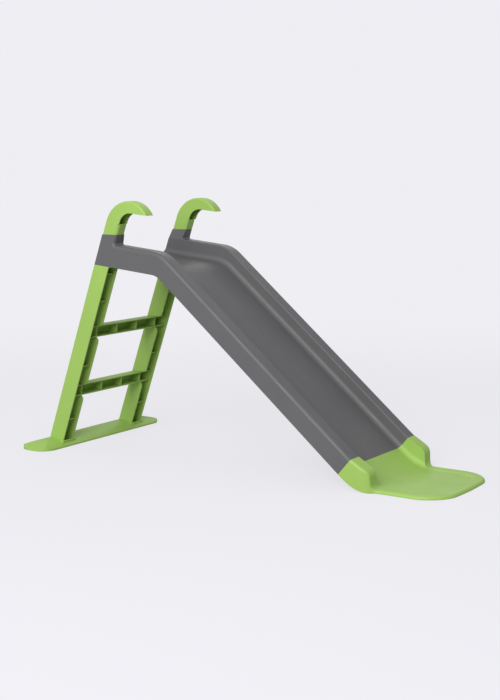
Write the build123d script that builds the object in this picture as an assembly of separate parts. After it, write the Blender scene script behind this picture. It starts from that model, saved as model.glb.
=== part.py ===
"""Children's straight slide: a leaning two-step ladder on a wide foot, a moulded chute with
two hook handles, and a separate run-out.  Millimetres, +Z up, +X is the way the child slides,
+Y is the child's left.  Every piece is a separate moulding, held by hidden screws."""
from build123d import *
import os
from math import cos, radians, sin, tan

# ---------------------------------------------------------------- overall sizes
half_width = 194.0         # middle plane to the outer face of rails, chute walls and handles
rail_width = 47.5          # across one rail or one chute wall
hook_width = 39.0          # across one handle and the head of its collar
wall = 3.5                 # moulded wall thickness
fit = 0.3                  # gap left round a piece that plugs into another
crest_height = 619.5       # top of the chute wall where the platform line meets the slope line
crest_reach = 447.0        # that corner, ahead of the ladder's rear edge at the ground

# ---------------------------------------------------------------- ladder
lean = 19.3                # degrees that the rails lean towards the chute
rail_depth = 56.0          # one rail, front to back, measured level
rail_seat = 8.0            # height of the rail's lower end, on the floor of its socket
first_step = 195.0         # ground to the first tread
step_pitch = 188.0         # first tread to second
step_height = 34.5         # one step, tread to underside
tread_setback = 16.5       # tread's front edge behind the rail's front edge
sole_setback = 8.0         # bottom plate's front edge behind the rail's front edge
step_wall = 3.0            # plates and webs of a step
notch_round = 13.0         # rounded corners of the rail's inner wall beside a step
rail_ribs = ((0.52,), (0.42,), (0.42, 0.86))   # cross ribs in each free stretch of a rail, as shares of it
rib_wall = 2.5             # ribs of every moulding
rib_setback = 5.0          # rib edges behind the mouth of the moulding

# ---------------------------------------------------------------- foot
foot_length = 590.0        # across the slide
foot_depth = 114.0
foot_rear = 36.0           # foot's rear edge behind the ladder's rear edge
foot_crown = 24.0          # height of the domed top along the middle
foot_rim = 5.0             # height of the rim at the long edges
foot_tip = 2.5             # height of the rim at the two ends
foot_taper = 75.0          # length of the rounded-down end of the dome
foot_corner = 46.0         # corner radius seen from above
socket_height = 19.0       # raised collar round the lower end of a rail
socket_border = 6.0        # that collar's wall
socket_round = 2.0         # its upper edges
foot_ribs = 7              # cross ribs inside, each side of the middle one

# ---------------------------------------------------------------- chute
platform_fall = 5.5        # degrees, the platform's slope towards the crest
slope = 39.66              # degrees, the chute's slope
crest_round = 105.0        # radius of the wall's top edge over the crest
wall_top_round = 10.0      # outer rounding of the wall's top
wall_lip_round = 4.0       # inner rounding of the wall's top
platform_drop = 50.0       # wall top to the bed, on the platform
bed_drop = 42.0            # wall top to the bed, on the slope
bed_crest_round = 100.0
bed_fillet = 16.0          # hollow between the bed and a wall
platform_skirt = 67.5      # wall top to the wall's lower edge, on the platform
slope_skirt = 59.0         # wall top to the wall's lower edge, on the slope
skirt_round = 58.0         # radius of that lower edge under the crest
joint_height = 88.5        # wall top where the run-out begins
chute_rib_pitch = 105.0    # cross ribs under the bed
chute_rib_depth = 9.0
collar_length = 97.0       # along the rail's rear edge
collar_depth = 53.0        # collar above the wall's top, front to back, measured level
collar_blend = 6.0        # hollow between the collar's front and the wall's top
plug_length = 34.0         # how far a rail or a handle reaches into its collar
web = 4.0                  # web between the two plugs of one collar

# ---------------------------------------------------------------- handles
hook_rise = 100.0          # crown of the hook above the collar's rear top corner
hook_round = 88.0          # radius of the hook's back
hook_reach = 67.5          # tip ahead of the crown
tip_fall = 41.0            # tip below the crown
mouth_round = 40.0         # radius inside the hook
mouth_tilt = 5.5           # degrees, the underside's rise from the tip
hook_closed = 32.0         # height of the closed front above the collar
hook_edge_round = 6.0      # long outer edges of the hook

# ---------------------------------------------------------------- run-out
wing_drop = 31.0           # fall of the wing's top edge from the joint to its corner
wing_length = 54.0         # joint to the wing's front edge, measured level
wing_rake = 3.0            # how far the wing's front edge leans forward on its way down
wing_round = 24.0          # the wing's front top corner
wing_blend = 14.0           # hollow between the wing's front edge and the tongue
heel_round = 145.0         # lower edge, from the slope to the ground
tongue_height = 9.5       # rim of the tongue
tongue_reach = 269.0       # joint to the tip of the tongue
tongue_inset = 22.0        # side of the tongue inside the outer face of the wings
tongue_neck = 30.0         # run of the narrowing from the wings to the tongue
neck_lead = 16.0           # where it begins, behind the foot of the wing
neck_round = 45.0          # its two bends
tongue_corner = 96.0       # the tongue's front corners
tongue_bow = 8.0           # how far the tongue's front edge bows out
bow_round = 800.0
tongue_rim = 22.0          # border in front of the sliding surface
rim_round = 8.0            # outer top edges of wings and tongue
floor_height = 6.0         # level end of the sliding surface
floor_round = 150.0        # sliding surface, from the slope to that level
exit_flange = 26.0         # reach of the plugs inside the chute's walls
tab_length = 34.0          # screw tab under the chute's bed
tab_gap = 4.5              # between the bed's underside and the tab, filled at each screw by a boss

# ---------------------------------------------------------------- screws
screw_shank = 4.0
screw_head = 8.0
head_height = 2.8
recess_width = 1.1         # one slot of the cross recess
recess_depth = 0.7
boss_wall = 2.6
boss_reach = 14.0          # length of a screw boss
plug_screw_seats = (0.3, 0.75)     # along a plug, as shares of its length
foot_screw_seats = (0.3, 0.7)      # along the end of a rail, as shares of its depth

# ---------------------------------------------------------------- worked out from the above
inner = half_width - rail_width            # middle plane to the inner face of rails and walls
hook_inner = half_width - hook_width       # and of handles
lean_run = tan(radians(lean))              # forward travel of a rail for each unit of height
slope_run = tan(radians(slope))
crest = Vector(crest_reach, crest_height)
joint = Vector(crest_reach + (crest_height - joint_height) / slope_run, joint_height)
tip_x = joint.X + tongue_reach
middle_x = (tip_x - foot_rear) / 2         # the part's origin, ahead of the ladder's rear edge


def rear_x(height):
    """Rear edge of a rail at a height."""
    return height * lean_run


def slab(face, low, high):
    """A side-view face, drawn as X and Z, given thickness from Y = low to Y = high."""
    side = Plane(origin=(0, high, 0), x_dir=(1, 0, 0), z_dir=(0, -1, 0))
    return extrude(side * face, high - low)


def outline(*corners):
    """A closed face from (point, rounding) corners."""
    points = [Vector(point) for point, rounding in corners]
    return make_face(FilletPolyline(*points, radius=[rounding for point, rounding in corners], close=True))


def polygon(*points):
    return outline(*((point, 0) for point in points))


def meet(line, other):
    """Where two side-view lines cross; a line is a point and a direction."""
    (p, u), (q, v) = line, other
    gap = q - p
    return p + u * ((gap.X * v.Y - gap.Y * v.X) / (u.X * v.Y - u.Y * v.X))


def moved(line, distance):
    """The same line moved square to itself: to the right of its direction if positive."""
    point, along = line
    return point + Vector(along.Y, -along.X) * distance, along


def both_sides(shape):
    """The right-hand piece and its mirror image, the left-hand piece."""
    return shape, mirror(shape, about=Plane.XZ)


def level_arc(run, fall):
    """Radius of an arc that starts level and falls by an amount over a run."""
    return (run ** 2 + fall ** 2) / (2 * fall)


def along_line(solid, line, y):
    """A solid's edges that lie on a side-view line, at one Y."""
    point, way = line
    across = Vector(way.Y, -way.X)
    found = []
    for edge in solid.edges():
        middle = edge @ 0.5
        seen = Vector(middle.X, middle.Z)
        level = abs(middle.Y - y) < 0.01 and abs(edge.tangent_at(0.5).Y) < 0.01
        if level and abs((seen - point).dot(across)) < 0.01:
            found.append(edge)
    return found


def single(shape):
    """The one solid of a shape."""
    solids = shape.solids()
    assert len(solids) == 1, f"{len(solids)} solids where one was meant"
    return solids[0]


# ---------------------------------------------------------------- screws
def screw(reach):
    """A pan-head screw: its seat at the origin, its shank along -Z."""
    half = screw_shank / 2
    shape = outline(
        ((0, head_height), 0),
        ((screw_head / 2, head_height), head_height / 2),
        ((screw_head / 2, 0), 0),
        ((half, 0), 0),
        ((half, half - reach), 0),
        ((0, -reach), 0),
    )
    body = revolve(Plane.XZ * shape, Axis.Z)
    recess = Box(screw_head / 2, recess_width, 2 * recess_depth)
    recess += Box(recess_width, screw_head / 2, 2 * recess_depth)
    return body - Pos(0, 0, head_height) * recess


def screw_hole(reach):
    """What a screw needs cut away: its shank, to its point."""
    return Pos(0, 0, -reach / 2) * Cylinder(screw_shank / 2, reach + 2 * fit)


def boss(reach):
    """The post that a screw bites into, from the origin along -Z."""
    return Pos(0, 0, -reach / 2) * Cylinder(screw_shank / 2 + boss_wall, reach)


def facing_back(x, y, z):
    """A place on a rear face, with Z pointing out of that face towards the climbing child."""
    out = Vector(-cos(radians(lean)), 0, sin(radians(lean)))
    return Plane(origin=(x, y, z), x_dir=(0, 1, 0), z_dir=out)


# ---------------------------------------------------------------- side-view lines
up_rail = Vector(sin(radians(lean)), cos(radians(lean)))
down_platform = Vector(cos(radians(platform_fall)), -sin(radians(platform_fall)))
down_slope = Vector(cos(radians(slope)), -sin(radians(slope)))
off_slope = Vector(sin(radians(slope)), cos(radians(slope)))
beyond = 80.0              # how far cutting tools run past an open edge

rail_back = (Vector(0, 0), up_rail)
rail_front = (Vector(rail_depth, 0), up_rail)
collar_front = (Vector(collar_depth, 0), up_rail)
platform_top = (crest, down_platform)
slope_top = (crest, down_slope)
ground = (Vector(0, 0), Vector(1, 0))
collar_foot = meet(rail_back, moved(platform_top, platform_skirt))         # lower rear corner of a collar
collar_head = collar_foot + up_rail * collar_length                        # upper rear corner
collar_rim = (collar_head, Vector(1, 0))


def chute_path(flat, steep, past=0.0):
    """The wall's top edge moved down by one distance on the platform and another on the slope:
    its rear end, its corner at the crest, and its lower end, run on past the joint."""
    level, fall = moved(platform_top, flat), moved(slope_top, steep)
    return meet(rail_back, level), meet(level, fall), joint - off_slope * steep + down_slope * past


# ---------------------------------------------------------------- chute
def wall_outline():
    """One chute wall with its collar, seen from the side."""
    rear, corner, end = chute_path(platform_skirt, slope_skirt)
    return outline(
        (rear, 0),
        (collar_head, 0),
        (meet(collar_front, collar_rim), 0),
        (meet(collar_front, platform_top), collar_blend),
        (crest, crest_round),
        (joint, 0),
        (end, 0),
        (corner, skirt_round),
    )


def wall_hollow_outline():
    """The space inside that wall: open below, at the joint, and at the collar's head."""
    back = moved(rail_back, wall)
    front = moved(collar_front, -wall)
    level, fall = moved(platform_top, wall), moved(slope_top, wall)
    open_rim = (collar_head + up_rail * beyond, Vector(1, 0))
    rear, corner, end = chute_path(platform_skirt + beyond, slope_skirt + beyond, beyond)
    return outline(
        (meet(back, (rear, down_platform)), 0),
        (meet(back, open_rim), 0),
        (meet(front, open_rim), 0),
        (meet(front, level), collar_blend + wall),
        (meet(level, fall), crest_round - wall),
        (joint - off_slope * wall + down_slope * beyond, 0),
        (end, 0),
        (corner, 0),
    )


def top_height(x):
    """Height of the walls' top, before rounding over the crest."""
    ahead = x - crest.X
    return crest.Y - ahead * (slope_run if ahead > 0 else tan(radians(platform_fall)))


def top_edges(solid, y):
    """A wall's edges at one Y along its collar's front, its top and its crest."""
    found = []
    for edge in solid.edges():
        middle = edge @ 0.5
        seen = Vector(middle.X, middle.Z)
        in_plane = abs(middle.Y - y) < 0.01 and abs(edge.tangent_at(0.5).Y) < 0.01
        on_back = abs(seen.X - seen.Y * lean_run) < 2 * wall
        on_rim = seen.Y > collar_head.Y - 0.01
        past_end = (seen - joint).dot(down_slope) > -0.01 and abs(edge.tangent_at(0.5).X) < 0.7
        high_up = seen.Y > top_height(seen.X) - platform_drop / 2
        if in_plane and high_up and not (on_back or on_rim or past_end):
            found.append(edge)
    return found


def flare(inset):
    """What is cut from the inner side of the right-hand collar, which narrows towards its head."""
    low, high = meet(collar_front, platform_top).Y, collar_head.Y
    side = [(-inner - inset, low), (-hook_inner - inset, high), (-hook_inner - inset, high + beyond),
            (0, high + beyond), (0, low)]
    return extrude(Plane.YZ * polygon(*side), crest.X)


def right_wall():
    """The right-hand chute wall with its collar, solid."""
    shape = slab(wall_outline(), -half_width, -inner)
    shape = fillet(top_edges(shape, -half_width), wall_top_round)
    return fillet(top_edges(shape, -inner), wall_lip_round) - flare(0)


def wall_hollow():
    shape = slab(wall_hollow_outline(), -half_width + wall, -inner - wall)
    return fillet(top_edges(shape, -half_width + wall), wall_top_round - wall) - flare(wall)


def bed_block():
    """The floor between the walls, solid, with hollow corners where it meets them."""
    above = bed_fillet + wall
    start, corner, end = chute_path(platform_drop - above, bed_drop - above)
    rear, low_corner, low_end = chute_path(platform_skirt, slope_skirt)
    block = slab(outline((rear, 0), (start, 0), (corner, bed_crest_round), (end, 0), (low_end, 0),
                         (low_corner, skirt_round)), -inner, inner)
    high = chute_path(-beyond, -beyond, beyond)
    start, corner, end = chute_path(platform_drop, bed_drop, beyond)
    start = start - down_platform * beyond
    cutter = slab(outline((start, 0), (high[0] - down_platform * beyond, 0), (high[1], 0), (high[2], 0),
                          (end, 0), (corner, bed_crest_round)), -inner, inner)
    low = []
    for edge in cutter.edges():
        middle = edge @ 0.5
        deep = middle.Z < top_height(middle.X) - bed_drop / 2
        if deep and abs(edge.tangent_at(0.5).Y) < 0.01 and start.X + 1 < middle.X < end.X - 1:
            low.append(edge)
    return block - fillet(low, bed_fillet)


def under_bed(side, past_back=0.0, drop=beyond):
    """The space under the bed, between Y = -side and side, from a distance ahead of the rear face."""
    level, fall = platform_drop + wall, bed_drop + wall
    start, corner, end = chute_path(level, fall, beyond)
    rear, low_corner, low_end = chute_path(level + drop, fall + drop, beyond)
    back = moved(rail_back, past_back)
    return slab(outline((meet(back, (start, down_platform)), 0), (corner, bed_crest_round - wall), (end, 0),
                        (low_end, 0), (low_corner, 0), (meet(back, (rear, down_platform)), 0)), -side, side)


def collar_webs():
    """Inside the right-hand collar: the wall in front of the plugs and the web between them."""
    front = moved(rail_front, wall + fit)
    skirt, top = moved(platform_top, platform_skirt), moved(platform_top, wall / 2)
    front_wall = slab(polygon(meet(rail_front, skirt), meet(rail_front, top), meet(front, top),
                              meet(front, skirt)), -half_width + wall / 2, -inner - wall / 2)
    low = (collar_foot + up_rail * (plug_length + fit), down_platform)
    high = moved(low, -web)
    back = moved(rail_back, wall / 2)
    middle_web = slab(polygon(meet(back, low), meet(back, high), meet(rail_front, high),
                              meet(rail_front, low)), -half_width + wall / 2, -inner - wall / 2)
    return front_wall + middle_web


def chute_ribs(outside):
    """Under the bed: cross ribs square to the slope, and one rib each side of the middle."""
    zone = under_bed(half_width - wall / 2, rail_depth, chute_rib_depth)
    count = int((joint - crest).length / chute_rib_pitch)
    ribs = []
    for n in range(count):
        place = joint - down_slope * (tab_length + exit_flange + n * chute_rib_pitch)
        square = Plane(origin=(place.X, 0, place.Y), x_dir=(0, 1, 0), z_dir=(down_slope.X, 0, down_slope.Y))
        ribs.append(square * Box(2 * half_width - wall, 4 * bed_drop, rib_wall) & outside)
    low = slab(outline_of_skirt(), -half_width, half_width)
    ribs = [rib - low for rib in ribs]
    at_joint = Pos(joint.X, 0, joint.Y) * Rot(0, slope, 0) * Pos(beyond - tab_length, 0, 0) * Box(
        2 * beyond, 2 * half_width, 4 * beyond)
    for y in (-inner / 3, inner / 3):
        long_rib = zone & Pos(0, y, 0) * Box(8 * crest_reach, rib_wall, 8 * crest_height)
        ribs.append(long_rib - at_joint)
    return ribs


def outline_of_skirt():
    """Everything lower than the ribs' edges."""
    rear, corner, end = chute_path(platform_skirt - rib_setback, slope_skirt - rib_setback, beyond)
    low = chute_path(platform_skirt + beyond, slope_skirt + beyond, 2 * beyond)
    return outline((rear, 0), (corner, skirt_round), (end, 0), (low[2], 0), (low[1], 0), (low[0], 0))


def bed_bosses():
    """Places on the bed's underside for the screws of the run-out's tab."""
    seat = joint - down_slope * (tab_length / 2) - off_slope * (bed_drop + wall + tab_gap)
    facing = Plane(origin=(seat.X, 0, seat.Y), x_dir=(0, 1, 0), z_dir=(-off_slope.X, 0, -off_slope.Y))
    return [facing * Pos(n * inner / 2, 0, 0) for n in (-1, 0, 1)]


def plug_screws():
    """Places on the right-hand collar's rear face: two for the rail's plug, two for the handle's."""
    places = []
    for start, way, width in ((collar_foot, 1, rail_width), (collar_head, -1, hook_width)):
        for share in plug_screw_seats:
            seat = start + up_rail * (way * plug_length * share)
            places.append(facing_back(seat.X, -half_width + width / 2, seat.Y))
    return places


def chute():
    """Bed, hollow walls, collars, webs and ribs in one moulding."""
    right = right_wall()
    outside = right + mirror(right, about=Plane.XZ) + bed_block()
    hollow = wall_hollow()
    shell = outside - hollow - mirror(hollow, about=Plane.XZ)
    shell -= under_bed(inner, wall)
    shell -= under_bed(half_width - wall, (rail_depth + 2 * wall) * cos(radians(lean)))
    webs = collar_webs()
    shell += webs
    shell += mirror(webs, about=Plane.XZ)
    for rib in chute_ribs(outside):
        shell += rib
    for place in bed_bosses():
        shell += place * boss(tab_gap + wall / 2)
        shell -= place * screw_hole(tab_gap + wall / 2)
    for place in plug_screws():
        hole = place * screw_hole(2 * boss_reach)
        shell = shell - hole - mirror(hole, about=Plane.XZ)
    return single(shell)


# ---------------------------------------------------------------- ladder rails
def rail_face(inset_back=0.0, inset_front=0.0, low=rail_seat, high=None):
    """A length of rail seen from the side, up to the collar unless a height is given."""
    back, front = moved(rail_back, inset_back), moved(rail_front, -inset_front)
    top = (Vector(0, high), Vector(1, 0)) if high else moved(platform_top, platform_skirt)
    foot = (Vector(0, low), Vector(1, 0))
    return polygon(meet(back, foot), meet(back, top), meet(front, top), meet(front, foot))


def rib_heights():
    """Heights of the cross ribs, in the stretches below, between and above the steps."""
    upper = first_step + step_pitch
    ends = ((rail_seat, first_step - step_height), (first_step, upper - step_height), (upper, collar_foot.Y))
    return [low + (high - low) * share for (low, high), shares in zip(ends, rail_ribs) for share in shares]


def step_profile(tread):
    """A step's outer shape seen from the side, its rear face on the rail's rear wall."""
    back = moved(rail_back, wall + fit)
    top, sole = (Vector(0, tread), Vector(1, 0)), (Vector(0, tread - step_height), Vector(1, 0))
    tread_edge = rear_x(tread) + rail_depth - tread_setback
    sole_edge = rear_x(tread - step_height) + rail_depth - sole_setback
    return meet(back, top), Vector(tread_edge, top[0].Y), Vector(sole_edge, sole[0].Y), meet(back, sole)


def inner_web():
    """A rail's inner wall: notched from the front for each step, with rounded notch corners."""
    back, foot = rail_back, (Vector(0, rail_seat), Vector(1, 0))
    top = moved(platform_top, platform_skirt)
    corners = [(meet(back, foot), 0), (meet(rail_front, foot), 0)]
    for tread in (first_step, first_step + step_pitch):
        sole = tread - step_height - fit
        for height, rounding in ((sole, notch_round), (tread + fit, notch_round)):
            level = (Vector(0, height), Vector(1, 0))
            rear = meet(moved(back, wall), level)
            mouth = meet(rail_front, level)
            corners += [(mouth, rounding), (rear, 0)] if height == sole else [(rear, 0), (mouth, rounding)]
    corners += [(meet(rail_front, top), 0), (meet(back, top), 0)]
    return slab(outline(*corners), -inner - wall, -inner)


def step_screws():
    """Places on the right-hand rail's rear face, one behind the end of each step."""
    places = []
    for tread in (first_step, first_step + step_pitch):
        height = tread - step_height / 2
        places.append(facing_back(rear_x(height), -half_width + rail_width / 2, height))
    return places


def foot_screws():
    """Places under the foot, two below each rail; Z points down."""
    places = []
    for share in foot_screw_seats:
        x = rear_x(rail_seat) + rail_depth * share
        places.append(Plane(origin=(x, -half_width + rail_width / 2, rail_seat - wall), z_dir=(0, 0, -1)))
    return places


def plug(start, way, front, side, rounding):
    """A hollow plug on a rail or a handle, a wall and a clearance smaller all round, and its space.
    The side is the inner face of the collar that it fits, the rounding that of its long front edge."""
    shapes = []
    body, space = (wall + fit, -wall, plug_length), (2 * wall + fit, 2 * wall, plug_length + beyond)
    for inset, near, far in (body, space):
        lines = [(start + up_rail * (way * reach), down_platform) for reach in (near, far)]
        rear, face = moved(rail_back, inset), moved(front, -inset)
        (a, b), (c, d) = [(meet(rear, line), meet(face, line)) for line in lines]
        shape = slab(polygon(a, b, d, c), -half_width + inset, -side - inset)
        if rounding > inset:
            shape = fillet(along_line(shape, face, -half_width + inset), rounding - inset)
        shapes.append(shape)
    return shapes


def right_rail():
    """A channel open towards the chute, with cross ribs, a floor, and a plug for the collar."""
    rail = slab(rail_face(), -half_width, -inner - wall)
    rail -= slab(rail_face(inset_back=wall, inset_front=-beyond, low=rail_seat + 2 * wall),
                 -half_width + wall, -inner)
    rail += inner_web()
    rail += slab(rail_face(high=rail_seat + 2 * wall), -half_width, -inner)
    for height in rib_heights():
        rail += slab(rail_face(wall / 2, rib_setback, height - rib_wall, height), -half_width + wall / 2,
                     -inner - wall / 2)
    top = moved(platform_top, platform_skirt)
    under = moved(top, wall)
    rail += slab(polygon(meet(rail_back, under), meet(rail_back, top), meet(rail_front, top),
                         meet(rail_front, under)), -half_width, -inner)
    outside, inside = plug(collar_foot, 1, rail_front, inner, 0)
    rail = rail + outside - inside
    for place in plug_screws()[:2]:
        rail += place * Pos(0, 0, -wall - fit) * boss(boss_reach)
        rail -= place * screw_hole(2 * boss_reach)
    for place in step_screws():
        rail -= place * screw_hole(boss_reach)
    for place in foot_screws():
        rail += place * Pos(0, 0, -wall) * boss(boss_reach)
        rail -= place * screw_hole(boss_reach)
    return single(rail)


# ---------------------------------------------------------------- steps
def step(tread):
    """A tread, a bottom plate and a rear wall, open in front, with cross webs; it spans both rails."""
    reach = half_width - wall - fit
    rear_top, front_top, front_sole, rear_sole = step_profile(tread)
    shape = slab(polygon(rear_top, front_top, front_sole, rear_sole), -reach, reach)
    shape = fillet([e for e in shape.edges() if abs((e @ 0.5).X - front_top.X) < 0.01
                    and abs((e @ 0.5).Z - tread) < 0.01], step_wall / 2)
    back = moved(rail_back, wall + fit + step_wall)
    top = (Vector(0, tread - step_wall), Vector(1, 0))
    sole = (Vector(0, tread - step_height + step_wall), Vector(1, 0))
    forward = Vector(beyond, 0)
    shape -= slab(polygon(meet(back, top), meet(back, top) + forward, meet(back, sole) + forward,
                          meet(back, sole)), -reach, reach)
    recess = Vector(rib_setback, 0)
    for y in (-inner + rib_wall / 2, -inner / 3, inner / 3, inner - rib_wall / 2):
        shape += slab(polygon(rear_top, front_top - recess, front_sole - recess, rear_sole),
                      y - rib_wall / 2, y + rib_wall / 2)
    height = tread - step_height / 2
    for side in (-1, 1):
        place = facing_back(rear_x(height), side * (half_width - rail_width / 2), height)
        shape += place * Pos(0, 0, -wall - fit) * boss(boss_reach)
        shape -= place * screw_hole(2 * boss_reach)
    return single(shape)


# ---------------------------------------------------------------- handles
def right_handle():
    """A hook moulded as a channel open underneath, closed at its lower end by a front wall and a plug."""
    radius = hook_round
    crown_height = collar_head.Y + hook_rise
    centre = Vector(0, crown_height - radius)
    centre = Vector(rear_x(centre.Y) + radius / cos(radians(lean)), centre.Y)
    nose_radius = level_arc(hook_reach, tip_fall)
    nose_centre = Vector(centre.X, crown_height - nose_radius)
    tip = Vector(centre.X + hook_reach, crown_height - tip_fall)
    mouth_rise = Vector(-cos(radians(mouth_tilt)), sin(radians(mouth_tilt)))
    out_of_back = Vector(-up_rail.Y, up_rail.X)

    def hook(inset, mouth_edges, last, first):
        """The hook's back, crown and nose moved in by an inset, closed by the mouth's edges."""
        back_end = centre + out_of_back * (radius - inset)
        crown = Vector(centre.X, crown_height - inset)
        r = nose_radius - inset
        drop = crown_height - tip_fall - nose_centre.Y
        nose = Vector(nose_centre.X + (r ** 2 - drop ** 2) ** 0.5, tip.Y)
        arcs = [
            Line(first, back_end),
            RadiusArc(back_end, crown, radius - inset),
            RadiusArc(crown, nose, r),
        ]
        return make_face(Curve() + arcs + mouth_edges(nose) + [Line(last, first)])

    corner = meet(collar_front, (tip, mouth_rise))
    shut = (Vector(0, collar_head.Y + hook_closed), Vector(1, 0))
    shut_back, shut_front = meet(rail_back, shut), meet(collar_front, shut)
    whole = slab(hook(0, lambda nose: [FilletPolyline(nose, corner, shut_front, radius=mouth_round)],
                      shut_front, shut_back), -half_width, -hook_inner)
    closed = slab(polygon(collar_head, shut_back, shut_front, meet(collar_front, collar_rim)),
                  -half_width, -hook_inner)
    closed = fillet(along_line(closed, collar_front, -half_width), wall_top_round)
    closed = fillet(along_line(closed, collar_front, -hook_inner), wall_lip_round)
    shape = whole + closed
    shape = fillet([edge for edge in shape.edges() if is_hook_back(edge, centre)], hook_edge_round)

    back_in, front_in = moved(rail_back, wall), moved(collar_front, -wall)
    above = (Vector(0, shut[0].Y + wall), Vector(1, 0))
    floor_line = (collar_head + Vector(0, wall), Vector(1, 0))

    def open_mouth(nose):
        past = Vector(nose.X, nose.Y - beyond / 2)
        return [Polyline(nose, past, Vector(past.X, shut[0].Y), meet(front_in, shut))]

    shape -= slab(hook(wall, open_mouth, meet(front_in, shut), meet(back_in, shut)),
                  -half_width + wall, -hook_inner - wall)
    space = slab(polygon(meet(back_in, floor_line), meet(back_in, above), meet(front_in, above),
                         meet(front_in, floor_line)), -half_width + wall, -hook_inner - wall)
    shape -= fillet(along_line(space, front_in, -half_width + wall), wall_top_round - wall)
    outside, inside = plug(collar_head, -1, collar_front, hook_inner, wall_top_round)
    shape = shape + outside - inside
    for place in plug_screws()[2:]:
        shape += place * Pos(0, 0, -wall - fit) * boss(boss_reach)
        shape -= place * screw_hole(2 * boss_reach)
    return single(shape)


def is_hook_back(edge, centre):
    """Whether an edge runs along the handle's back, crown or nose, on either side."""
    middle = edge @ 0.5
    seen = Vector(middle.X, middle.Z)
    on_line = abs((seen - collar_head).dot(Vector(up_rail.Y, -up_rail.X))) < 0.01
    return abs(edge.tangent_at(0.5).Y) < 0.01 and (on_line or (seen - centre).length > hook_round - 0.01)


# ---------------------------------------------------------------- foot
def dome(inset):
    """The foot's domed body, moved in by an inset and, if so, open below."""
    low = -beyond if inset else 0.0
    middle = foot_depth / 2 - foot_rear
    turn = foot_length / 2 - foot_taper
    across = level_arc(foot_depth / 2, foot_crown - foot_rim)
    along = level_arc(foot_taper, foot_crown - foot_tip)
    plan = Pos(middle, 0, low) * RectangleRounded(foot_depth - 2 * inset, foot_length - 2 * inset,
                                                  foot_corner - inset)
    roller = Rot(90, 0, 0) * Cylinder(across - inset, 2 * foot_length)
    crosswise = Pos(middle, 0, foot_crown - across) * roller
    stadium = Plane.YZ * Pos(0, foot_crown - along) * SlotCenterToCenter(2 * turn, 2 * (along - inset))
    return extrude(plan, foot_crown - low) & crosswise & extrude(stadium, foot_depth, both=True)


def foot():
    """A domed shell with ribs, and a socket for each rail."""
    shape = dome(0) - dome(wall)
    middle = foot_depth / 2 - foot_rear
    hollow = dome(wall / 2)
    for n in range(-foot_ribs, foot_ribs + 1):
        y = n * (foot_length / 2 - foot_taper / 2) / foot_ribs
        plate = Pos(middle, y, foot_crown / 2 + rib_wall / 2) * Box(foot_depth, rib_wall, foot_crown)
        shape += plate & hollow
    shape += Pos(middle, 0, foot_crown / 2 + rib_wall / 2) * Box(rib_wall, foot_length, foot_crown) & hollow
    border = socket_border + fit
    back, front = rear_x(socket_height) - border, rear_x(socket_height) + rail_depth + border
    block = slab(polygon((-border, 0), (back, socket_height), (front, socket_height), (rail_depth + border, 0)),
                 -half_width - border, -inner + border)
    block = fillet(block.faces().sort_by(Axis.Z)[-1].edges(), socket_round)
    back, front = moved(rail_back, -fit), moved(rail_front, fit)
    seat, sky = (Vector(0, rail_seat), Vector(1, 0)), (Vector(0, foot_crown + wall), Vector(1, 0))
    pocket = slab(polygon(meet(back, seat), meet(back, sky), meet(front, sky), meet(front, seat)),
                  -half_width - fit, -inner + fit)
    well = Pos(rail_depth / 2, -half_width + rail_width / 2, (rail_seat - wall) / 2) * Box(
        rail_depth, rail_width, rail_seat - wall)
    for side in (lambda piece: piece, lambda piece: mirror(piece, about=Plane.XZ)):
        shape = shape + side(block) - side(pocket) - side(well)
        for place in foot_screws():
            shape -= side(place * screw_hole(boss_reach))
    return single(shape)


# ---------------------------------------------------------------- run-out
wing_corner = joint + Vector(wing_length, -wing_drop)
wing_foot = Vector(wing_corner.X + wing_rake, tongue_height)


def tongue_plan(inset):
    """The run-out from above: as wide as the chute up to the wings, then narrowing to the tongue."""
    wide, narrow = half_width - inset, half_width - tongue_inset - inset
    neck, start = wing_foot.X - neck_lead, joint.X - 2 * beyond
    bend, tip = neck + tongue_neck, tip_x - inset
    side = [(start, wide, 0), (neck, wide, neck_round + inset), (bend, narrow, neck_round - inset),
            (tip - tongue_bow, narrow, tongue_corner - inset), (tip, 0, bow_round)]
    far = [(x, -y, rounding) for x, y, rounding in reversed(side[:-1])]
    return outline(*((Vector(x, y), rounding) for x, y, rounding in side + far))


def exit_body(inset):
    """The run-out without its channel, moved in by an inset and, if so, open below."""
    low = -beyond if inset else 0.0
    end = joint + down_slope * inset
    top = moved((joint, (wing_corner - joint).normalized()), inset)
    start = (end, off_slope)
    front = (wing_foot - Vector(inset, 0), (wing_corner - wing_foot).normalized())
    rim = (Vector(0, tongue_height - inset), Vector(1, 0))
    floor_line = (Vector(0, low), Vector(1, 0))
    skirt = moved(slope_top, slope_skirt - inset)
    corners = [
        (meet(start, top), 0),
        (meet(top, front), wing_round - inset),
        (meet(front, rim), wing_blend + inset),
        (Vector(tip_x + beyond, tongue_height - inset), 0),
        (Vector(tip_x + beyond, low), 0),
    ]
    if inset:
        corners.append((meet(start, floor_line), 0))
    else:
        corners += [(meet(skirt, ground), heel_round), (meet(start, skirt), 0)]
    side = slab(outline(*corners), -half_width + inset, half_width - inset)
    body = side & extrude(Pos(0, 0, low) * tongue_plan(inset), crest_height)
    if inset:
        heel = slab(outline((meet(start, skirt), 0), (meet(skirt, ground), heel_round - inset),
                            (Vector(tip_x + beyond, 0), 0), (Vector(tip_x + beyond, low), 0),
                            (meet(start, floor_line), 0)), -half_width, half_width)
        body = body - heel
    return body


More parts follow.
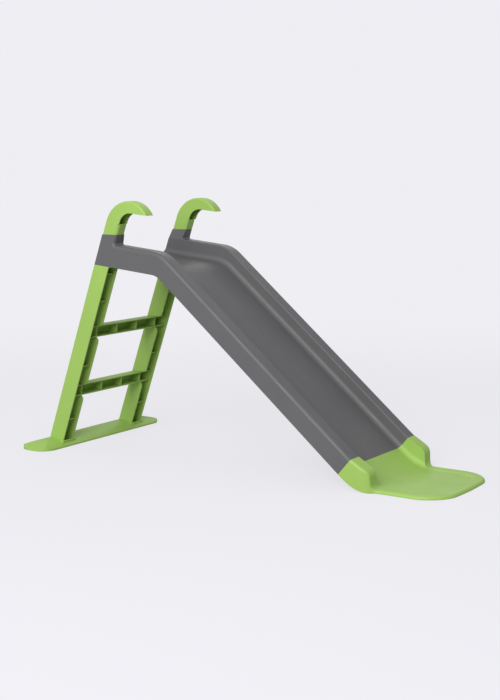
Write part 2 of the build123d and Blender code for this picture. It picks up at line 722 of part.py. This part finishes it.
def exit_channel(grow):
    """The sliding space of the run-out, made larger by an amount all round."""
    bed = moved(slope_top, bed_drop + grow)
    level = (Vector(0, floor_height - grow), Vector(1, 0))
    start = joint - off_slope * (bed_drop + grow) - down_slope * beyond
    above = slab(outline((start, 0), (meet(bed, level), floor_round), (Vector(tip_x + beyond, level[0].Y), 0),
                         (Vector(tip_x + beyond, crest_height), 0), (Vector(start.X, crest_height), 0)),
                 -half_width, half_width)
    front, rear = tip_x - tongue_rim + grow, start.X - beyond
    side, rounding = inner + grow, tongue_corner - tongue_rim + grow
    plan = outline(((rear, -side), 0), ((front, -side), rounding), ((front, side), rounding), ((rear, side), 0))
    return above & extrude(plan, crest_height)


def rim_edges(solid):
    """The outer top edges of the run-out: wing tops, wing fronts and the rim of the tongue."""
    found = []
    for edge in solid.edges():
        middle, along = edge @ 0.5, edge.tangent_at(0.5)
        seen = Vector(middle.X, middle.Z)
        if abs(along.Z) > 0.9999 or (abs(along.Y) > 0.99 and middle.X < wing_foot.X + 2 * wing_blend):
            continue
        on_side = abs(abs(middle.Y) - half_width) < wall + 0.01 and (seen - joint).dot(down_slope) > 2 * wall
        in_front = middle.X > wing_foot.X - neck_lead - neck_round / 2
        on_wing = on_side and (seen - joint).dot(off_slope) > -slope_skirt * 0.8 or in_front
        if middle.Z > tongue_height - wall - 1 and on_wing:
            found.append(edge)
    return found


def floor_edges(solid):
    """The edges round the floor of the sliding space, where it meets the wings and the rim."""
    found = []
    for edge in solid.edges():
        middle, along = edge @ 0.5, edge.tangent_at(0.5)
        bed = crest.Y - bed_drop / cos(radians(slope)) - (middle.X - crest.X) * slope_run
        arc_rise = 2 * floor_round * (1 - cos(radians(slope / 2)))
        across = abs(along.Y) > 0.99 and middle.X < tip_x - tongue_rim - 1
        if middle.Z < max(bed, floor_height) + arc_rise and not across:
            found.append(edge)
    return found


def joint_plugs():
    """Hollow plugs that reach up inside the chute's two walls."""
    gap = wall + fit
    start = (joint + down_slope * wall, off_slope)
    end = (joint - down_slope * exit_flange, off_slope)
    high, low = moved(slope_top, gap), moved(slope_top, bed_drop - wall)
    solid = slab(polygon(meet(start, high), meet(end, high), meet(end, low), meet(start, low)),
                 -half_width + gap, -inner - gap)
    solid = fillet(along_line(solid, high, -half_width + gap), wall_top_round - gap)
    end = (joint - down_slope * (exit_flange + beyond), off_slope)
    start = (joint, off_slope)
    high, low = moved(slope_top, gap + rib_wall), moved(slope_top, bed_drop + beyond)
    space = slab(polygon(meet(start, high), meet(end, high), meet(end, low), meet(start, low)),
                 -half_width + gap + rib_wall, -inner - gap - rib_wall)
    gap += rib_wall
    right = solid - fillet(along_line(space, high, -half_width + gap), wall_top_round - gap)
    return both_sides(right)


def joint_tab():
    """The plate under the chute's bed that its screws pass through."""
    depth = bed_drop + wall + tab_gap
    start, end = (joint + down_slope * wall / 2, off_slope), (joint - down_slope * tab_length, off_slope)
    high, low = moved(slope_top, depth), moved(slope_top, depth + wall)
    return slab(polygon(meet(start, high), meet(end, high), meet(end, low), meet(start, low)), -inner, inner)


def run_out():
    """Wings, sliding surface and tongue in one hollow moulding, with plugs and a tab for the chute."""
    outer, space = exit_body(0), exit_channel(0)
    inner_body, inner_space = exit_body(wall), exit_channel(wall)
    outer = fillet(rim_edges(outer), rim_round)
    inner_body = fillet(rim_edges(inner_body), rim_round - wall)
    space = fillet(floor_edges(space), bed_fillet)
    inner_space = fillet(floor_edges(inner_space), bed_fillet + wall)
    shape = outer - space - (inner_body - inner_space)
    for plugs in joint_plugs():
        shape += plugs
    shape += joint_tab()
    for place in bed_bosses():
        shape -= place * Pos(0, 0, wall) * screw_hole(2 * wall)
    hollow = exit_body(wall / 2) - exit_channel(wall / 2)
    for y in (-2 * inner / 3, -inner / 3, 0, inner / 3, 2 * inner / 3):
        plate = Pos(tip_x, y, crest_height / 2 + rib_wall) * Box(4 * tongue_reach, rib_wall, crest_height)
        shape += plate & hollow
    return single(shape)


# ---------------------------------------------------------------- screws in place
def collar_screws(which):
    """Screws through the collars into the rails' plugs (0) or the handles' plugs (1)."""
    places = plug_screws()[2 * which:2 * which + 2]
    return [place * screw(boss_reach) for place in places]


def step_screw_set():
    return [place * screw(boss_reach) for place in step_screws()]


def foot_screw_set():
    return [place * screw(boss_reach) for place in foot_screws()]


def run_out_screws():
    return [place * Pos(0, 0, wall) * screw(wall + tab_gap + wall / 2) for place in bed_bosses()]


def with_mirror(shapes):
    return shapes + [mirror(shape, about=Plane.XZ) for shape in shapes]


def write(name, shapes):
    """Moves a node's solids to the part's own origin and writes them to one STEP file."""
    placed = [Pos(-middle_x, 0, 0) * shape for shape in shapes]
    whole = placed[0] if len(placed) == 1 else Compound(children=placed)
    whole.label = name
    export_step(whole, f"parts/{name}.step")


def main():
    os.makedirs("parts", exist_ok=True)
    rails, handles = both_sides(right_rail()), both_sides(right_handle())
    write("slide_chute", [chute()])
    write("run_out", [run_out()])
    write("right_rail", [rails[0]])
    write("left_rail", [rails[1]])
    write("lower_step", [step(first_step)])
    write("upper_step", [step(first_step + step_pitch)])
    write("base_foot", [foot()])
    write("right_handle", [handles[0]])
    write("left_handle", [handles[1]])
    write("rail_screws", with_mirror(collar_screws(0)))
    write("handle_screws", with_mirror(collar_screws(1)))
    write("step_screws", with_mirror(step_screw_set()))
    write("foot_screws", with_mirror(foot_screw_set()))
    write("run_out_screws", run_out_screws())


if __name__ == "__main__":
    main()
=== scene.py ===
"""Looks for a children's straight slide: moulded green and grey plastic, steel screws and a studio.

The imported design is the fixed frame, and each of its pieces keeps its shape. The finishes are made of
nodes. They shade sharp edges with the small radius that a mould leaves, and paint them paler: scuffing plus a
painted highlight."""
from math import pi, radians, sqrt

import bmesh
import bpy
from bpy.props import FloatProperty, FloatVectorProperty, PointerProperty
from bpy.types import Operator, Panel, PropertyGroup
from mathutils import Euler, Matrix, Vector


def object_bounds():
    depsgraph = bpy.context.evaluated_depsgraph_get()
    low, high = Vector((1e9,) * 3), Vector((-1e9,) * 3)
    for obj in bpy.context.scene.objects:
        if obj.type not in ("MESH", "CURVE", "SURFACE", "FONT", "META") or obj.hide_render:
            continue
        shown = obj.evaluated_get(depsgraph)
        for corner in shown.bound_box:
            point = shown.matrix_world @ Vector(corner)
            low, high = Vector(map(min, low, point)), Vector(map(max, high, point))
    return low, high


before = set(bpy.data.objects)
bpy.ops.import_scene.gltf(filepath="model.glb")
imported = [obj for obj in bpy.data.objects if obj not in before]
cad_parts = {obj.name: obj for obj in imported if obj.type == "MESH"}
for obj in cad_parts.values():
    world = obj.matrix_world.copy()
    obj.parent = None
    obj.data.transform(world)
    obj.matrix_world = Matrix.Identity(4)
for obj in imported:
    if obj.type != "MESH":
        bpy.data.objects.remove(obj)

bl_info = {
    "name": "Straight Slide",
    "version": (1, 0, 0),
    "blender": (4, 5, 0),
    "location": "3D View > Sidebar > Slide",
    "description": "Dresses a children's slide in moulded plastic and steel, and sets it in a studio",
    "category": "Object",
}

DESIGN_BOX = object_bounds()
SLOPE = radians(39.66)              # fall of the sliding surface below level
LADDER = ("right_rail", "left_rail", "lower_step", "upper_step", "base_foot")
HANDLES = ("right_handle", "left_handle")
SCREWS = ("rail_screws", "handle_screws", "step_screws", "foot_screws", "run_out_screws")

# Cells in each metre of the plastic's noises
CLOUDS = 5.0
SHEEN = 14.0
PATCHES = 38.0
SPECKS = 240.0
STREAKS = (6.0, 330.0, 40.0)        # along the bed, across it and upwards
# How strongly each of them shows
SPECK_TINT = 0.10
WEAR_AND_HIGHLIGHT_TINT = 0.55
STREAK_TINT = 0.16
# The paler edges are partly scuffing and partly a painted highlight
STREAK_GLOSS = 0.10
WORN_AND_HIGHLIT_TURN = (0.97, 0.80)            # cosine of an edge's turn where the paler edge starts, and where it is full
STREAK_TILT = (0.55, 0.75)          # how far a face looks up where rubbing starts, and where it is full
GRAIN_DEPTH = 0.00025               # metres
# The screws' steel
TURNED_GRAIN = 2600.0               # cells in each metre
DULL_SPOTS = 420.0
TURNED_DEPTH = 0.00005              # metres

FLOOR_FADE = (1.1, 3.6)             # metres from the middle where the floor starts to melt, and where it ends
FRONT_LAMP = {"place": (0.8, -4.3, 2.9), "size": 3.4}
BACK_LAMP = {"place": (-1.3, 2.7, 2.1), "size": 1.8}


# ---------------------------------------------------------------- settings
class SlideFinish(PropertyGroup):
    """Colours and surfaces of the mouldings and the screws."""

    green: FloatVectorProperty(
        name="Green",
        description="Colour of the ladder, the handles and the run-out",
        subtype="COLOR",
        size=3,
        min=0.0,
        max=1.0,
        default=(0.335, 0.535, 0.108),
    )
    grey: FloatVectorProperty(
        name="Grey",
        description="Colour of the chute",
        subtype="COLOR",
        size=3,
        min=0.0,
        max=1.0,
        default=(0.120, 0.119, 0.121),
    )
    steel: FloatVectorProperty(
        name="Steel",
        description="Colour of the zinc-plated screws",
        subtype="COLOR",
        size=3,
        min=0.0,
        max=1.0,
        default=(0.55, 0.55, 0.56),
    )
    roughness: FloatProperty(
        name="Roughness",
        description="Roughness of the satin plastic",
        subtype="FACTOR",
        min=0.0,
        max=1.0,
        default=0.50,
    )
    grain: FloatProperty(
        name="Grain",
        description="Width of one cell of the moulded grain",
        unit="LENGTH",
        min=0.0002,
        max=0.01,
        default=0.0013,
    )
    mould_edge: FloatProperty(
        name="Mould edge",
        description="Radius that the mould leaves on a sharp edge",
        unit="LENGTH",
        min=0.0,
        max=0.003,
        default=0.0011,
    )


class SlideStudio(PropertyGroup):
    """Floor, lamps and camera."""

    backdrop: FloatVectorProperty(
        name="Backdrop",
        description="Colour of the studio's far floor and air",
        subtype="COLOR",
        size=3,
        min=0.0,
        max=1.0,
        default=(0.863, 0.855, 0.896),
    )
    floor: FloatVectorProperty(
        name="Floor",
        description="Colour of the floor under the slide",
        subtype="COLOR",
        size=3,
        min=0.0,
        max=1.0,
        default=(0.80, 0.795, 0.83),
    )
    bounce: FloatProperty(
        name="Bounce",
        description="Strength of the light that the floor gives back to the slide",
        min=0.0,
        max=2.0,
        default=0.40,
    )
    glow: FloatProperty(
        name="Floor glow",
        description="How much of the near floor's brightness is its own, which keeps the shadow faint",
        subtype="FACTOR",
        min=0.0,
        max=1.0,
        default=0.80,
    )
    floor_radius: FloatProperty(
        name="Floor radius",
        description="Radius of the round floor",
        unit="LENGTH",
        min=5.0,
        max=100.0,
        default=40.0,
    )
    fill: FloatProperty(
        name="Fill",
        description="Strength of the light that comes from all round",
        min=0.0,
        max=5.0,
        default=0.56,
    )
    front_power: FloatProperty(
        name="Front lamp",
        description="Power of the large soft lamp in front",
        min=0.0,
        max=2000.0,
        default=215.0,
    )
    back_power: FloatProperty(
        name="Back lamp",
        description="Power of the soft lamp behind the slide",
        min=0.0,
        max=2000.0,
        default=12.0,
    )
    camera_place: FloatVectorProperty(
        name="Camera",
        description="Place of the camera",
        subtype="XYZ",
        unit="LENGTH",
        size=3,
        default=(2.1557, -3.2767, 0.9043),
    )
    turn: FloatProperty(
        name="Turn",
        description="Direction of the camera, to the left of straight across the slide",
        subtype="ANGLE",
        default=radians(33.66),
    )
    dip: FloatProperty(
        name="Dip",
        description="How far the camera looks below level",
        subtype="ANGLE",
        default=radians(8.34),
    )
    lens: FloatProperty(
        name="Lens",
        description="Focal length for a sensor 36 mm along its long side",
        subtype="DISTANCE_CAMERA",
        min=10.0,
        max=300.0,
        default=68.8,
    )


# ---------------------------------------------------------------- node helpers
def new_tree(name):
    """An empty material and its node tree."""
    material = bpy.data.materials.new(name)
    material.use_nodes = True
    material.node_tree.nodes.clear()
    return material, material.node_tree


def add(tree, kind, inputs=None, **settings):
    """A node with its settings, and its inputs as values or links by socket name or number."""
    node = tree.nodes.new(kind)
    for name, value in settings.items():
        setattr(node, name, value)
    for key, value in (inputs or {}).items():
        if isinstance(value, bpy.types.NodeSocket):
            tree.links.new(value, node.inputs[key])
        else:
            node.inputs[key].default_value = value
    return node


def noise(tree, place, scale, detail=2.0, rough=0.5):
    """Soft noise from 0 to 1 with a number of cells in each metre."""
    made = add(tree, "ShaderNodeTexNoise", {"Vector": place, "Scale": scale, "Detail": detail,
                                            "Roughness": rough})
    return made.outputs["Fac"]


def remap(tree, value, low, high, to_low, to_high):
    """A value stretched from one range to another, held inside it."""
    made = add(tree, "ShaderNodeMapRange", {"Value": value, "From Min": low, "From Max": high,
                                            "To Min": to_low, "To Max": to_high})
    return made.outputs["Result"]


def blend_colour(tree, factor, first, second):
    """The first colour where the factor is 0 and the second where it is 1."""
    made = add(tree, "ShaderNodeMix", data_type="RGBA")
    for socket, value in ((0, factor), (6, first), (7, second)):
        if isinstance(value, bpy.types.NodeSocket):
            tree.links.new(value, made.inputs[socket])
        else:
            made.inputs[socket].default_value = value
    return made.outputs[2]


def maths(tree, operation, first, second):
    """The result of one sum."""
    made = add(tree, "ShaderNodeMath", {0: first, 1: second}, operation=operation)
    return made.outputs[0]


def shade(colour, factor):
    """A colour made darker or lighter, with its alpha."""
    return tuple(min(1.0, channel * factor) for channel in colour) + (1.0,)


# ---------------------------------------------------------------- finishes
def moulded_plastic(name, colour, finish, along=None):
    """Satin plastic with a fine moulded grain, cloudy colour, paler edges (scuffing and a painted highlight)
    and, along a direction, the faint streaks that sliding leaves."""
    material, tree = new_tree(name)
    place = add(tree, "ShaderNodeTexCoord").outputs["Object"]
    clouds = noise(tree, place, CLOUDS, 3.0, 0.6)
    specks = noise(tree, place, SPECKS)
    cells = add(tree, "ShaderNodeTexVoronoi", {"Vector": place, "Scale": 1.0 / finish.grain},
                feature="SMOOTH_F1").outputs["Distance"]
    corner = add(tree, "ShaderNodeBevel", {"Radius": finish.mould_edge}, samples=4).outputs["Normal"]
    facing = add(tree, "ShaderNodeNewGeometry").outputs["Normal"]
    turn = add(tree, "ShaderNodeVectorMath", {0: corner, 1: facing}, operation="DOT_PRODUCT")
    # Edges are painted paler, partly as scuffing and partly as a painted highlight along the mould's radius
    worn_and_highlit = remap(tree, turn.outputs["Value"], *WORN_AND_HIGHLIT_TURN, 0.0, 1.0)
    patches = noise(tree, place, PATCHES, 3.0, 0.65)
    wear_and_highlight = maths(tree, "MULTIPLY", worn_and_highlit, remap(tree, patches, 0.35, 0.65, 0.25, 1.0))

    cloudy = remap(tree, clouds, 0.3, 0.7, 0.0, 1.0)
    base = blend_colour(tree, cloudy, shade(colour, 0.955), shade(colour, 1.045))
    base = blend_colour(tree, remap(tree, specks, 0.42, 0.72, 0.0, SPECK_TINT), base, shade(colour, 1.25))
    pale = tuple(0.72 * channel + 0.28 * sqrt(channel) for channel in colour) + (1.0,)
    base = blend_colour(tree, maths(tree, "MULTIPLY", wear_and_highlight, WEAR_AND_HIGHLIGHT_TINT), base, pale)

    rough = remap(tree, noise(tree, place, SHEEN, 4.0, 0.6), 0.3, 0.7,
                  finish.roughness - 0.05, finish.roughness + 0.06)
    height = maths(tree, "MULTIPLY", cells, 0.6)
    if along is not None:
        turned = add(tree, "ShaderNodeMapping", {"Vector": place, "Rotation": along, "Scale": STREAKS})
        streaks = noise(tree, turned.outputs["Vector"], 1.0, 4.0, 0.7)
        upward = add(tree, "ShaderNodeSeparateXYZ", {0: facing})
        rubbed = remap(tree, upward.outputs["Z"], *STREAK_TILT, 0.0, 1.0)
        lines = maths(tree, "MULTIPLY", remap(tree, streaks, 0.55, 0.78, 0.0, 1.0), rubbed)
        rough = maths(tree, "SUBTRACT", rough, maths(tree, "MULTIPLY", lines, STREAK_GLOSS))
        base = blend_colour(tree, maths(tree, "MULTIPLY", lines, STREAK_TINT), base, shade(colour, 1.5))
        height = maths(tree, "SUBTRACT", height, maths(tree, "MULTIPLY", lines, 0.35))
    bump = add(tree, "ShaderNodeBump", {"Height": height, "Strength": 0.35, "Distance": GRAIN_DEPTH,
                                        "Normal": corner})
    shader = add(tree, "ShaderNodeBsdfPrincipled", {"Base Color": base, "Roughness": rough, "IOR": 1.49,
                                                    "Normal": bump.outputs["Normal"]})
    tree.links.new(shader.outputs[0], add(tree, "ShaderNodeOutputMaterial").inputs["Surface"])
    return material


def zinc_steel(name, colour):
    """Zinc-plated steel with a turned grain and dull spots."""
    material, tree = new_tree(name)
    place = add(tree, "ShaderNodeTexCoord").outputs["Object"]
    turned = noise(tree, place, TURNED_GRAIN)
    spots = noise(tree, place, DULL_SPOTS, 3.0, 0.6)
    dull = remap(tree, spots, 0.35, 0.65, 0.0, 1.0)
    base = blend_colour(tree, dull, shade(colour, 0.82), shade(colour, 1.1))
    rough = remap(tree, spots, 0.3, 0.7, 0.26, 0.44)
    bump = add(tree, "ShaderNodeBump", {"Height": turned, "Strength": 0.25, "Distance": TURNED_DEPTH})
    shader = add(tree, "ShaderNodeBsdfPrincipled", {"Base Color": base, "Roughness": rough, "Metallic": 1.0,
                                                    "Normal": bump.outputs["Normal"]})
    tree.links.new(shader.outputs[0], add(tree, "ShaderNodeOutputMaterial").inputs["Surface"])
    return material


def finish_for(slot):
    """The material of one slot, made once."""
    name = slot + "_finish"
    found = bpy.data.materials.get(name)
    if found:
        return found
    finish = bpy.context.scene.slide_finish
    if slot == "green_plastic":
        return moulded_plastic(name, tuple(finish.green), finish)
    if slot == "grey_plastic":
        return moulded_plastic(name, tuple(finish.grey), finish, along=(0.0, -SLOPE, 0.0))
    return zinc_steel(name, tuple(finish.steel))


# ---------------------------------------------------------------- pieces
def carried(node, slot):
    """Gives its finish to a design node, which stays as it is."""
    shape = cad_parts[node]
    for place in shape.material_slots:
        place.material = finish_for(slot)


class SLIDE_OT_screws(Operator):
    """Finishes every group of screws"""

    bl_idname = "slide.screws"
    bl_label = "Screws"

    def execute(self, context):
        for node in SCREWS:
            carried(node, "steel_screw")
        return {"FINISHED"}


class SLIDE_OT_ladder(Operator):
    """Finishes the two rails, the two steps and the wide foot"""

    bl_idname = "slide.ladder"
    bl_label = "Ladder"

    def execute(self, context):
        for node in LADDER:
            carried(node, "green_plastic")
        return {"FINISHED"}


class SLIDE_OT_handles(Operator):
    """Finishes the two hook handles"""

    bl_idname = "slide.handles"
    bl_label = "Handles"

    def execute(self, context):
        for node in HANDLES:
            carried(node, "green_plastic")
        return {"FINISHED"}


class SLIDE_OT_chute(Operator):
    """Finishes the grey chute"""

    bl_idname = "slide.chute"
    bl_label = "Chute"

    def execute(self, context):
        carried("slide_chute", "grey_plastic")
        return {"FINISHED"}


class SLIDE_OT_run_out(Operator):
    """Finishes the green run-out"""

    bl_idname = "slide.run_out"
    bl_label = "Run-out"

    def execute(self, context):
        carried("run_out", "green_plastic")
        return {"FINISHED"}


# ---------------------------------------------------------------- studio
def floor_finish(studio):
    """A pale floor, partly lit by itself, that melts into the studio's air away from the slide."""
    material, tree = new_tree("studio_floor_finish")
    place = add(tree, "ShaderNodeTexCoord").outputs["Object"]
    distance = add(tree, "ShaderNodeVectorMath", {0: place}, operation="LENGTH").outputs["Value"]
    far = add(tree, "ShaderNodeMapRange", {"Value": distance, "From Min": FLOOR_FADE[0],
                                           "From Max": FLOOR_FADE[1]},
              interpolation_type="SMOOTHERSTEP").outputs["Result"]
    near = add(tree, "ShaderNodeBsdfDiffuse", {"Color": tuple(studio.floor) + (1.0,)})
    seen = add(tree, "ShaderNodeLightPath").outputs["Is Camera Ray"]
    strength = remap(tree, seen, 0.0, 1.0, studio.bounce, 1.0)
    air = add(tree, "ShaderNodeEmission", {"Color": tuple(studio.backdrop) + (1.0,), "Strength": strength})
    share = remap(tree, far, 0.0, 1.0, studio.glow, 1.0)
    mixed = add(tree, "ShaderNodeMixShader", {0: share, 1: near.outputs[0], 2: air.outputs[0]})
    tree.links.new(mixed.outputs[0], add(tree, "ShaderNodeOutputMaterial").inputs["Surface"])
    return material


def round_floor(studio):
    """Lays the floor, which isn't a piece of the slide."""
    made = bmesh.new()
    bmesh.ops.create_circle(made, cap_ends=True, cap_tris=True, segments=96, radius=studio.floor_radius)
    mesh = bpy.data.meshes.new("studio_floor")
    made.to_mesh(mesh)
    made.free()
    floor = bpy.data.objects.new("studio_floor", mesh)
    floor.data.materials.append(floor_finish(studio))
    bpy.context.scene.collection.objects.link(floor)


def softbox(name, power, place, size):
    """A square soft lamp that looks at the middle of the slide."""
    data = bpy.data.lights.new(name, "AREA")
    data.shape = "SQUARE"
    data.size = size
    data.energy = power
    lamp = bpy.data.objects.new(name, data)
    lamp.location = place
    low, high = DESIGN_BOX
    aim = (low + high) / 2 - Vector(place)
    lamp.rotation_euler = aim.to_track_quat("-Z", "Y").to_euler()
    bpy.context.scene.collection.objects.link(lamp)


def studio_air(studio):
    """Even light from all round, a little dimmer than the backdrop that it shows."""
    world = bpy.data.worlds.new("studio_air")
    world.use_nodes = True
    tree = world.node_tree
    tree.nodes.clear()
    seen = add(tree, "ShaderNodeLightPath").outputs["Is Camera Ray"]
    strength = remap(tree, seen, 0.0, 1.0, studio.fill, 1.0)
    air = add(tree, "ShaderNodeBackground", {"Color": tuple(studio.backdrop) + (1.0,), "Strength": strength})
    tree.links.new(air.outputs[0], add(tree, "ShaderNodeOutputWorld").inputs["Surface"])
    bpy.context.scene.world = world


def studio_camera(studio):
    """The scene's camera, with no roll and no shift."""
    data = bpy.data.cameras.new("studio_camera")
    data.lens = studio.lens
    camera = bpy.data.objects.new("studio_camera", data)
    camera.location = studio.camera_place
    camera.rotation_euler = Euler((pi / 2 - studio.dip, 0.0, studio.turn))
    bpy.context.scene.collection.objects.link(camera)
    bpy.context.scene.camera = camera


class SLIDE_OT_stage(Operator):
    """Lays the floor and sets up the light and the camera"""

    bl_idname = "slide.stage"
    bl_label = "Stage"

    def execute(self, context):
        studio = context.scene.slide_studio
        round_floor(studio)
        studio_air(studio)
        softbox("front_lamp", studio.front_power, **FRONT_LAMP)
        softbox("back_lamp", studio.back_power, **BACK_LAMP)
        studio_camera(studio)
        context.scene.view_settings.view_transform = "Standard"
        return {"FINISHED"}


class SLIDE_PT_panel(Panel):
    """Lists the settings and the steps"""

    bl_idname = "SLIDE_PT_panel"
    bl_label = "Straight Slide"
    bl_space_type = "VIEW_3D"
    bl_region_type = "UI"
    bl_category = "Slide"

    def draw(self, context):
        scene = context.scene
        for settings, title in ((scene.slide_finish, "Finish"), (scene.slide_studio, "Studio")):
            box = self.layout.box()
            box.label(text=title)
            for name in settings.__annotations__:
                box.prop(settings, name)
        for step in STEPS:
            self.layout.operator(step.bl_idname)


STEPS = (
    SLIDE_OT_chute,
    SLIDE_OT_run_out,
    SLIDE_OT_ladder,
    SLIDE_OT_handles,
    SLIDE_OT_screws,
    SLIDE_OT_stage,
)
CLASSES = (SlideFinish, SlideStudio, *STEPS, SLIDE_PT_panel)


def register():
    for item in CLASSES:
        bpy.utils.register_class(item)
    bpy.types.Scene.slide_finish = PointerProperty(type=SlideFinish)
    bpy.types.Scene.slide_studio = PointerProperty(type=SlideStudio)


def unregister():
    del bpy.types.Scene.slide_studio
    del bpy.types.Scene.slide_finish
    for item in reversed(CLASSES):
        bpy.utils.unregister_class(item)


def main():
    register()
    for step in STEPS:
        group, name = step.bl_idname.split(".")
        getattr(getattr(bpy.ops, group), name)()


if __name__ == "__main__":
    main()
